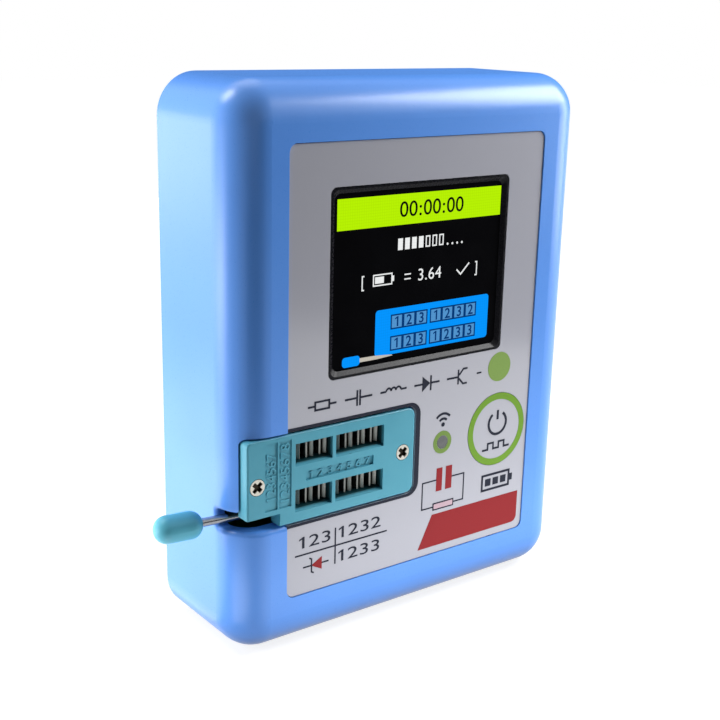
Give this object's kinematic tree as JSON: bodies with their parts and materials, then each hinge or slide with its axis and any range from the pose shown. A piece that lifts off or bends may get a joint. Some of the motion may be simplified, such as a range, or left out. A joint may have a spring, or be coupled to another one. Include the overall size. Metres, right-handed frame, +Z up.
{
  "type": "component tester",
  "caption": "Handheld electronic component tester with a rounded case, small screen, lever-operated test socket at the lower left and a round test button.",
  "frame": {"origin": "middle of the flat bottom of the case, under the middle of its depth", "axes": "+Z up, +X to the right as seen from the front, +Y from the front face to the back"},
  "size_m": [0.0805, 0.0226, 0.09],
  "materials": {
    "case_blue": "satin moulded ABS, light blue",
    "panel_grey": "satin printed film, silver grey",
    "bezel_black": "gloss black moulding",
    "screen_glass": "black lit display glass",
    "white_plastic": "white moulded plastic",
    "flex_film": "amber flexible circuit film",
    "socket_teal": "satin teal moulded plastic",
    "slider_black": "matt near-black plastic",
    "contact_metal": "tin-plated spring metal",
    "screw_steel": "zinc-plated steel",
    "screw_brass": "pale nickel-brass plating",
    "lever_steel": "bright steel wire",
    "knob_teal": "satin teal moulded plastic",
    "board_green": "green solder mask over glass-fibre board",
    "chip_black": "matt black moulding",
    "ir_grey": "smoky grey clear plastic",
    "battery_foil": "aluminium laminate pouch",
    "foam_black": "adhesive foam pad",
    "lead_red": "red wire insulation",
    "lead_black": "black wire insulation",
    "led_clear": "clear epoxy",
    "capacitor_tan": "tan ceramic with tinned ends",
    "print_dark": "dark slate screen-printed ink",
    "print_green": "green screen-printed ink",
    "print_red": "red screen-printed ink",
    "screen_lime": "lit lime field of the display",
    "screen_blue": "lit blue field of the display",
    "screen_white": "lit white figures of the display"
  },
  "bodies": {
    "case": {"front_shell": "case_blue", "back_cover": "case_blue", "case_screws": "screw_steel", "front_panel": "panel_grey", "screen_bezel": "bezel_black", "lcd_glass": "screen_glass", "lcd_backlight": "white_plastic", "lcd_carrier": "white_plastic", "lcd_flex": "flex_film", "socket_cover": "socket_teal", "socket_base": "socket_teal", "socket_contacts": "contact_metal", "socket_screws": "screw_brass", "main_board": "board_green", "board_screws": "screw_steel", "switch_housing": "chip_black", "ir_window": "ir_grey", "ir_receiver": "chip_black", "ir_leads": "contact_metal", "battery_cell": "battery_foil", "battery_pad": "foam_black", "battery_plug": "white_plastic", "battery_socket": "white_plastic", "battery_lead_red": "lead_red", "battery_lead_black": "lead_black", "usb_shell": "contact_metal", "usb_tongue": "chip_black", "charge_led": "led_clear", "processor_chip": "chip_black", "charger_chip": "chip_black", "crystal_can": "contact_metal", "power_coil": "chip_black", "chip_capacitors": "capacitor_tan", "chip_resistors": "chip_black"},
    "lever": {"lever_wire": "lever_steel", "lever_knob": "knob_teal"},
    "slider": {"socket_slider": "slider_black"},
    "button": {"button_cap": "panel_grey", "switch_plunger": "chip_black"}
  },
  "joints": [
    {"name": "lever_swing", "type": "hinge", "parent": "case", "child": "lever", "pos_m": [-0.0289, -0.00675, 0], "axis": [0, 0, 1], "range_deg": [0, 90]},
    {"name": "slider_shift", "type": "slide", "parent": "case", "child": "slider", "axis": [1, 0, 0], "range_m": [0, 0.0007]},
    {"name": "button_press", "type": "slide", "parent": "case", "child": "button", "axis": [0, 1, 0], "range_m": [0, 0.0003], "stiffness_N_per_m": 1500}
  ],
  "couplings": [
    {"joint": "lever_swing", "follows": "slider_shift", "rad_per_m": 2244}
  ]
}
